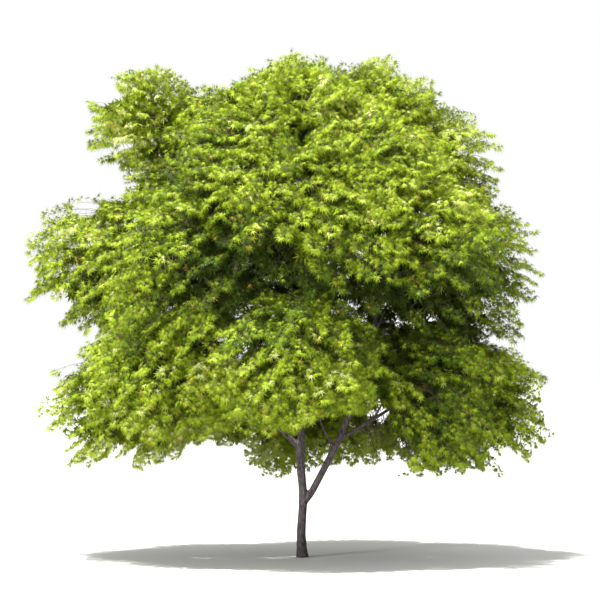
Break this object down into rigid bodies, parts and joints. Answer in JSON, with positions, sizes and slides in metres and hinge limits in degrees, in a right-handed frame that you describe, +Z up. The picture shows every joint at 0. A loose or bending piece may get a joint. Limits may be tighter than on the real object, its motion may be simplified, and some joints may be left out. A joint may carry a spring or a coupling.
{
  "type": "japanese maple tree",
  "caption": "Young japanese maple with a short leaning trunk, forked boughs and a broad layered crown of fine bright green leaves.",
  "frame": {"origin": "middle of the flat cut under the trunk, at ground level", "axes": "+Z up the trunk, -Y towards the tree's front, +X to its right as seen from the front"},
  "size_m": [5.249, 4.7112, 4.9865],
  "materials": {
    "bark": "rough",
    "leaves": "matte"
  },
  "bodies": {
    "root": {"leader": "bark", "left_bough": "bark", "low_back_left_bough": "bark", "low_back_left_foliage": "leaves", "low_back_right_bough": "bark", "low_back_right_foliage": "leaves", "low_front_bough": "bark", "low_front_foliage": "leaves", "low_front_left_bough": "bark", "low_front_left_foliage": "leaves", "low_front_right_bough": "bark", "low_front_right_foliage": "leaves", "low_left_back_bough": "bark", "low_left_back_foliage": "leaves", "low_left_bough": "bark", "low_left_foliage": "leaves", "low_right_back_bough": "bark", "low_right_back_foliage": "leaves", "low_right_bough": "bark", "low_right_foliage": "leaves", "mid_back_bough": "bark", "mid_back_foliage": "leaves", "mid_back_left_bough": "bark", "mid_back_left_foliage": "leaves", "mid_back_right_bough": "bark", "mid_back_right_foliage": "leaves", "mid_front_bough": "bark", "mid_front_foliage": "leaves", "mid_front_left_bough": "bark", "mid_front_left_foliage": "leaves", "mid_front_right_bough": "bark", "mid_front_right_foliage": "leaves", "mid_left_foliage": "leaves", "mid_right_bough": "bark", "mid_right_foliage": "leaves", "right_bough": "bark", "top_back_bough": "bark", "top_back_foliage": "leaves", "top_centre_foliage": "leaves", "top_front_bough": "bark", "top_front_foliage": "leaves", "top_left_bough": "bark", "top_left_foliage": "leaves", "top_left_tip_bough": "bark", "top_left_tip_foliage": "leaves", "top_right_bough": "bark", "top_right_foliage": "leaves", "trunk": "bark", "upper_back_left_bough": "bark", "upper_back_left_foliage": "leaves", "upper_back_right_bough": "bark", "upper_back_right_foliage": "leaves", "upper_front_left_bough": "bark", "upper_front_left_foliage": "leaves", "upper_front_right_bough": "bark", "upper_front_right_foliage": "leaves", "upper_left_bough": "bark", "upper_left_foliage": "leaves", "upper_right_foliage": "leaves"}
  },
  "joints": []
}
